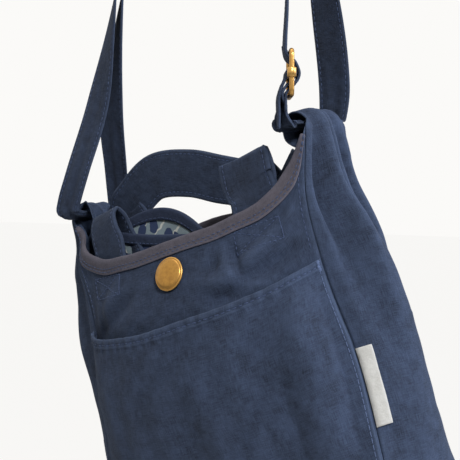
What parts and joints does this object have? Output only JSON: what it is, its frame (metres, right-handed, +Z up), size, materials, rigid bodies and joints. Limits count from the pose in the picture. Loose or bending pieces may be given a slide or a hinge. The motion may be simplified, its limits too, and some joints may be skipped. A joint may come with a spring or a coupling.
{
  "type": "shoulder bag",
  "caption": "Small canvas two-way shoulder bag with short handles, a doubled adjustable strap, a front slip pocket and an inner phone pouch.",
  "frame": {"origin": "highest point of the shoulder strap, where a hook or a shoulder carries it", "axes": "+Z up along the hang of the bag, -Y towards the front with the snap, +X to the right seen from the front"},
  "size_m": [0.2504, 0.1071, 0.572],
  "materials": {
    "navy_canvas": "washed cotton and linen canvas, matt",
    "navy_strap": "folded and stitched canvas, matt",
    "taupe_tape": "plain bias tape, matt",
    "navy_tape": "plain bias tape, matt",
    "printed_lining": null,
    "cream_label": "bare woven tape",
    "antique_brass": "antique, satin"
  },
  "bodies": {
    "bag": {"back_handle": "navy_canvas", "back_panel": "navy_canvas", "base_panel": "navy_canvas", "binding_back": "taupe_tape", "binding_front": "taupe_tape", "front_handle": "navy_canvas", "front_panel": "navy_canvas", "front_pocket": "navy_canvas", "gusset_left": "navy_canvas", "gusset_right": "navy_canvas", "inner_pocket": "printed_lining", "inner_pocket_binding": "navy_tape", "shoulder_strap": "navy_strap", "side_label": "cream_label", "slider_bar": "antique_brass", "snap_cap": "antique_brass", "snap_post": "antique_brass", "snap_socket": "antique_brass", "snap_stud": "antique_brass"},
    "slider": {"slider_frame": "antique_brass"}
  },
  "joints": [
    {"name": "slider_frame_slide", "type": "slide", "parent": "bag", "child": "slider", "axis": [0, 0, 1], "range_m": [-0.0005, 0.0005]}
  ]
}
